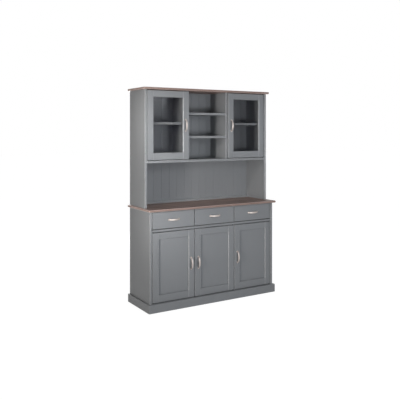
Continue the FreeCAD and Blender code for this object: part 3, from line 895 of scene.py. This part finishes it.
@dataclass
class BowHandle:
    """Bow handle on two rosettes, held by two screws from behind."""

    body: str
    spacing: float = 0.096
    projection: float = 0.027
    thickness: float = 0.006
    width: float = 0.016
    foot_width: float = 0.0115
    edge_radius: float = 0.0022
    rosette_radius: float = 0.009
    rosette_thickness: float = 0.0035
    rosette_rounding: float = 0.001575
    rosette_eye: float = 0.0027
    rosette_sides: int = 40
    leaf_thickness: float = 0.022
    screw_radius: float = 0.002
    screw_sides: int = 24
    head_radius: float = 0.004
    head_height: float = 0.0025
    head_rim: float = 0.0015
    head_top: float = 0.0024
    bow_points: int = 41

    def foot(self) -> bpy.types.Mesh:
        """One rosette with a soft rim, and the screw behind it, turned on Y."""
        piece = Workpiece()
        soft = self.rosette_rounding
        corner = rounded_arris((self.rosette_radius - soft, self.rosette_thickness - soft), soft, 0.0)
        rim = [(0.0, self.rosette_radius)]
        rim += [(along, radius) for radius, along in corner]
        rim.append((self.rosette_thickness, self.rosette_eye))
        piece.turned(rim, Vector((0.0, -1.0, 0.0)), self.rosette_sides)
        head = self.leaf_thickness
        screw = [
            (0.0, self.screw_radius), (head, self.screw_radius), (head, self.head_radius),
            (head + self.head_rim, self.head_radius), (head + self.head_height, self.head_top),
        ]
        piece.turned(screw, Vector((0.0, 1.0, 0.0)), self.screw_sides)
        return piece.mesh("handle foot")

    def build(self) -> None:
        """Sweep the bow from foot to foot and set it on the leaf."""
        node = self.body + "_handle"
        low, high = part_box(node)
        shaper = Shaper("bow handle", {
            "Spacing": self.spacing, "Rise": self.projection - 0.5 * self.thickness,
            "Thickness": self.thickness, "Width": self.width, "Edge radius": self.edge_radius,
            "Foot width": self.foot_width,
            "Turn": (0.0, 0.5 * math.pi if high.z - low.z > high.x - low.x else 0.0, 0.0),
            "Centre": (0.5 * (low.x + high.x), low.y + self.projection, 0.5 * (low.z + high.z)),
        })
        graph = shaper.graph
        half = shaper.size("Spacing") * 0.5
        line = graph.node("GeometryNodeCurvePrimitiveLine", {}, {"End": (1.0, 0.0, 0.0)})
        line = graph.node("GeometryNodeResampleCurve", {}, {"Curve": line, "Count": self.bow_points})
        angle = graph.node("GeometryNodeSplineParameter", output="Factor") * math.pi
        along = half * angle.one_of("COSINE") * -1.0
        rise = shaper.size("Rise") * angle.one_of("SINE") * -1.0
        line = shaper.moved(line, shaper.point(along, rise))
        line = graph.node("GeometryNodeSetCurveNormal", {"mode": "Z_UP"}, {"Curve": line})
        section = graph.node("GeometryNodeCurvePrimitiveQuadrilateral", {},
                             {"Width": shaper.size("Thickness"), "Height": shaper.size("Width")})
        section = graph.node("GeometryNodeFilletCurve", {"mode": "POLY"},
                             {"Curve": section, "Radius": shaper.size("Edge radius"), "Count": 4})
        bar = graph.node("GeometryNodeCurveToMesh", {}, {
            "Curve": line, "Profile Curve": section, "Fill Caps": True,
        })
        place = graph.node("GeometryNodeInputPosition")
        parts = graph.node("ShaderNodeSeparateXYZ", {}, {0: place})
        middle = 1.0 - (parts / half) * (parts / half)
        foot = shaper.size("Foot width") / shaper.size("Width")
        swell = foot + (1.0 - foot) * middle
        bar = shaper.moved(bar, shaper.point(parts, parts.other("Y"), parts.other("Z") * swell))
        feet = graph.node("GeometryNodeMeshLine", {}, {
            "Count": 2, "Start Location": shaper.point(half * -1.0), "Offset": shaper.point(half * 2.0),
        })
        handle = shaper.joined(bar, shaper.spread(feet, shaper.blank()))
        handle = graph.node("GeometryNodeTransform", {}, {
            "Geometry": handle, "Rotation": shaper.size("Turn"), "Translation": shaper.size("Centre"),
        })
        mesh = shaper.run(handle, self.foot(), NICKEL.material(), node + "_bow")
        fitted(node + "_bow", mesh, self.body, node)


@dataclass
class Door:
    """Framed door with a flat panel or a pane, and its bow handle."""

    body: str
    glazed: bool
    thickness: float = 0.022
    stile_width: float = 0.058
    top_rail: float = 0.056
    bottom_rail: float = 0.060
    rail_recess: float = 0.001
    outer_radius: float = 0.0015
    stile_radius: float = 0.005
    rail_radius: float = 0.002
    run_out: float = 0.004
    end_ease: float = 0.0008
    seat_depth: float = 0.010
    panel_front: float = 0.014
    panel_back: float = 0.020
    pane_front: float = 0.014

    def section(self, width: float, face: float, radius: float) -> list[Corner]:
        """Section of a stile or a rail from its outer edge to the sight line.

        Args:
            width: The member's width.
            face: How far its front lies behind the front of the door.
            radius: The rounding along the sight line.

        Returns:
            The corners of the outline, with the groove or rebate that holds the panel or pane.
        """
        outer = rounded_arris((self.outer_radius, face + self.outer_radius), self.outer_radius, 180.0)
        inner = rounded_arris((width - radius, face + radius), radius, 270.0)
        deep = width - self.seat_depth
        if self.glazed:
            seat = [(width, self.pane_front), (deep, self.pane_front), (deep, self.thickness)]
        else:
            seat = [(width, self.panel_front), (deep, self.panel_front)]
            seat += [(deep, self.panel_back), (width, self.panel_back), (width, self.thickness)]
        return [(0.0, self.thickness)] + outer + inner + seat

    def stile(self, piece: Workpiece, edge: float, inward: float, low: Vector, high: Vector) -> None:
        """Add an upright member with eased ends, and a rounding that runs out at the rails.

        Args:
            piece: The workpiece that takes it.
            edge: The place of its outer edge.
            inward: The way to the middle of the door, 1 or -1.
            low: The lowest corner of the door.
            high: The highest corner of the door.
        """
        ease = self.end_ease
        lower = low.z + self.bottom_rail
        upper = high.z - self.top_rail
        levels = (
            (low.z, ease, self.rail_radius), (low.z + ease, 0.0, self.rail_radius),
            (lower, 0.0, self.rail_radius), (lower + self.run_out, 0.0, self.stile_radius),
            (upper - self.run_out, 0.0, self.stile_radius), (upper, 0.0, self.rail_radius),
            (high.z - ease, 0.0, self.rail_radius), (high.z, ease, self.rail_radius),
        )
        rings = []
        for level, drawn_in, radius in levels:
            ring = []
            for across, depth in self.section(self.stile_width, 0.0, radius):
                side = edge + inward * max(across, drawn_in)
                ring.append(Vector((side, low.y + max(depth, drawn_in), level)))
            rings.append(ring)
        piece.skin(rings)

    def rail(self, piece: Workpiece, edge: float, inward: float, width: float, ends: tuple[float, float],
             front: float) -> None:
        """Add a level member between the stiles, with its tenons.

        Args:
            piece: The workpiece that takes it.
            edge: The level of its outer edge.
            inward: The way to the middle of the door, 1 for up and -1 for down.
            width: Its width.
            ends: Where the stiles' sight lines are.
            front: The place of the front of the door.
        """
        corners = self.section(width, self.rail_recess, self.rail_radius)
        rings = []
        for end in ends:
            ring = [Vector((end, front + depth, edge + inward * across)) for across, depth in corners]
            rings.append(ring)
        piece.skin(rings, 1)
        shoulder = sorted((edge, edge + inward * (width - self.seat_depth)))
        depths = (self.pane_front, self.thickness) if self.glazed else (self.panel_front, self.panel_back)
        for start, stop in ((ends[0] - self.seat_depth, ends[0]), (ends[1], ends[1] + self.seat_depth)):
            piece.block(Vector((start, front + depths[0], shoulder[0])),
                        Vector((stop, front + depths[1], shoulder[1])), 1)

    def build(self) -> None:
        """Make the frame and the handle, and finish what they hold."""
        node = self.body + "_frame"
        low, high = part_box(node)
        piece = Workpiece()
        self.stile(piece, low.x, 1.0, low, high)
        self.stile(piece, high.x, -1.0, low, high)
        ends = (low.x + self.stile_width, high.x - self.stile_width)
        self.rail(piece, low.z, 1.0, self.bottom_rail, ends, low.y)
        self.rail(piece, high.z, -1.0, self.top_rail, ends, low.y)
        mesh = piece.mesh(node, (painted(Axis.Z), painted(Axis.X, Wear.NONE)))
        fitted(node + "_members", mesh, self.body, node)
        if self.glazed:
            coated(self.body + "_glass", GLASS.material())
            coated(self.body + "_beads", painted(Axis.Z))
        else:
            coated(self.body + "_panel", painted(Axis.Z))
        BowHandle(self.body).build()


@dataclass
class Drawer:
    """Drawer with a flat painted front, a bare pine box and a bow handle."""

    body: str

    def build(self) -> None:
        """Finish the front and the box, and make the handle."""
        coated(self.body + "_front", painted(Axis.X, Wear.LIGHT))
        coated(self.body + "_box", BARE_PINE.material())
        coated(self.body + "_bottom", HARDBOARD.material())
        BowHandle(self.body).build()


WHITE = (1.0, 1.0, 1.0)
COOL = (0.965, 1.0, 1.045)
WARM = (1.03, 1.0, 0.96)


@dataclass(frozen=True)
class SoftBox:
    """Broad lamp that faces a point."""

    name: str
    place: tuple[float, float, float]
    aim: tuple[float, float, float]
    width: float
    height: float
    watts: float
    colour: Colour = WHITE
    spread: float = 180.0

    def hang(self) -> None:
        """Hang the lamp, unseen by the camera."""
        light = bpy.data.lights.new(self.name, "AREA")
        light.shape = "RECTANGLE"
        light.size = self.width
        light.size_y = self.height
        light.energy = self.watts
        light.color = self.colour
        light.spread = math.radians(self.spread)
        lamp = bpy.data.objects.new(self.name, light)
        turn = (Vector(self.aim) - Vector(self.place)).to_track_quat("-Z", "Y")
        lamp.matrix_world = Matrix.LocRotScale(Vector(self.place), turn, None)
        lamp.visible_camera = False
        bpy.context.scene.collection.objects.link(lamp)
        log.info("lamp %s hung", self.name)


@dataclass
class Studio:
    """Pale floor, soft lamps and the camera."""

    camera_place: tuple[float, float, float] = (-2.7426, -4.4445, 1.503)
    heading: float = 31.265
    focal: float = 51.53
    horizon_shift: float = -0.171
    floor_reach: float = 30.0
    floor_tone: float = 0.8
    shadow_tone: float = 0.12
    # Glow of the floor near the cabinet, a little under white: painted shade round its foot.
    near_white: float = 0.965
    fade: tuple[float, float] = (0.8, 3.5)
    ambient: float = 0.02

    def lamps(self) -> list[SoftBox]:
        """The soft boxes in their places."""
        return [
            SoftBox("front soft box", (-0.15, -2.6, 1.1), (0.0, -0.1, 1.1), 0.4, 0.4, 22.0, COOL),
            SoftBox("high front soft box", (0.7, -2.6, 2.0), (0.0, -0.1, 1.1), 0.4, 0.4, 7.7, COOL),
            SoftBox("far left soft box", (-5.5, -2.6, 1.2), (0.0, -0.1, 1.0), 0.3, 1.5, 103.0, WARM),
            SoftBox("left soft box", (-1.95, -0.65, 1.1), (0.0, -0.1, 1.1), 0.4, 0.8, 3.3, WARM),
            SoftBox("near fill", (-0.6, -1.0, 1.7), (0.0, -0.1, 1.1), 0.5, 0.5, 1.1, COOL),
            SoftBox("left door spot", (-0.8, -1.5, 1.6), (-0.6, -0.1, 1.4), 0.3, 0.3, 0.3, COOL, 45.0),
            SoftBox("drawer spot", (-0.8, -1.5, 1.1), (-0.6, -0.2, 0.75), 0.3, 0.3, 0.18, COOL, 45.0),
            SoftBox("right door spot", (0.9, -1.4, 1.5), (0.5, -0.1, 1.5), 0.3, 0.3, 0.17, COOL, 45.0),
            SoftBox("hutch strip", (-1.5, -0.7, 1.9), (-0.5, -0.1, 1.5), 0.25, 0.4, 0.95, WARM, 50.0),
            SoftBox("base strip", (-1.5, -0.7, 0.9), (-0.5, -0.2, 0.75), 0.25, 0.4, 0.48, WARM, 50.0),
            SoftBox("right soft box", (3.4, 0.5, 1.0), (0.6, 0.1, 0.9), 0.8, 1.2, 34.0),
            SoftBox("rear soft box", (0.6, 3.4, 1.2), (0.0, 0.2, 0.9), 1.2, 1.2, 45.0),
        ]

    def seen(self, graph: Graph) -> Sock:
        """1 for rays from the camera, a reflection or a pane, and 0 for the light itself."""
        rays = graph.node("ShaderNodeLightPath", output="Is Camera Ray")
        seen = rays + rays.other("Is Glossy Ray") + rays.other("Is Transmission Ray")
        return graph.maths("MINIMUM", seen, 1.0)

    def build_floor(self) -> None:
        """Lay a floor that looks white far off, with its glow dimmed near the cabinet as painted shade, and
        that takes the cabinet's shadow.
        """
        piece = Workpiece()
        reach = self.floor_reach
        corners = ((-reach, -reach), (reach, -reach), (reach, reach), (-reach, reach))
        piece.bm.faces.new([piece.bm.verts.new((x, y, 0.0)) for x, y in corners])
        material = bpy.data.materials.new("pale floor")
        material.use_nodes = True
        graph = Graph(material.node_tree)
        distance = graph.vectors("LENGTH", graph.place(), (0.0, 0.0, 0.0), "Value")
        # The glow runs from a little under white near the cabinet to white far off: painted shade round the
        # cabinet's foot, deepened where its real shadow falls.
        pale = graph.blend(distance.step(*self.fade), opaque((self.near_white,) * 3), opaque(WHITE))
        plain = graph.node("ShaderNodeBsdfDiffuse", {}, {"Color": opaque((self.floor_tone,) * 3)})
        shade = graph.node("ShaderNodeBsdfDiffuse", {}, {"Color": opaque((self.shadow_tone,) * 3)})
        white = graph.node("ShaderNodeEmission", {}, {"Color": pale})
        lit = graph.node("ShaderNodeAddShader", {}, {0: white, 1: shade})
        shader = graph.node("ShaderNodeMixShader", {}, {0: self.seen(graph), 1: plain, 2: lit})
        graph.node("ShaderNodeOutputMaterial", {}, {"Surface": shader})
        floor = bpy.data.objects.new("floor", piece.mesh("floor", (material,)))
        bpy.context.scene.collection.objects.link(floor)

    def build_world(self) -> None:
        """Surround the cabinet with white, and light it evenly and weakly from all sides."""
        world = bpy.data.worlds.new("white studio")
        world.use_nodes = True
        graph = Graph(world.node_tree)
        strength = self.seen(graph) * (1.0 - self.ambient) + self.ambient
        white = graph.node("ShaderNodeBackground", {}, {"Color": opaque(WHITE), "Strength": strength})
        graph.node("ShaderNodeOutputWorld", {}, {"Surface": white})
        bpy.context.scene.world = world

    def build_camera(self) -> None:
        """Set the camera level, with its lens shifted so that the uprights stay parallel."""
        lens = bpy.data.cameras.new("camera")
        lens.lens = self.focal
        lens.shift_y = self.horizon_shift
        camera = bpy.data.objects.new("camera", lens)
        camera.location = self.camera_place
        camera.rotation_euler = (math.radians(90.0), 0.0, math.radians(-self.heading))
        bpy.context.scene.collection.objects.link(camera)
        bpy.context.scene.camera = camera

    def build(self) -> None:
        """Set up everything round the cabinet."""
        self.build_floor()
        self.build_world()
        for lamp in self.lamps():
            lamp.hang()
        self.build_camera()
        bpy.context.scene.view_settings.view_transform = "Standard"


def main() -> None:
    """Build the cabinet piece by piece, then the studio round it."""
    logging.basicConfig(level=logging.INFO, format="%(message)s")
    Carcass().dress()
    BackBoards().build()
    ShelfPins().build()
    for body in ("base_door_left", "base_door_middle", "base_door_right"):
        Door(body, glazed=False).build()
    for body in ("hutch_door_left", "hutch_door_right"):
        Door(body, glazed=True).build()
    for body in ("drawer_left", "drawer_middle", "drawer_right"):
        Drawer(body).build()
    Studio().build()


if __name__ == "__main__":
    main()
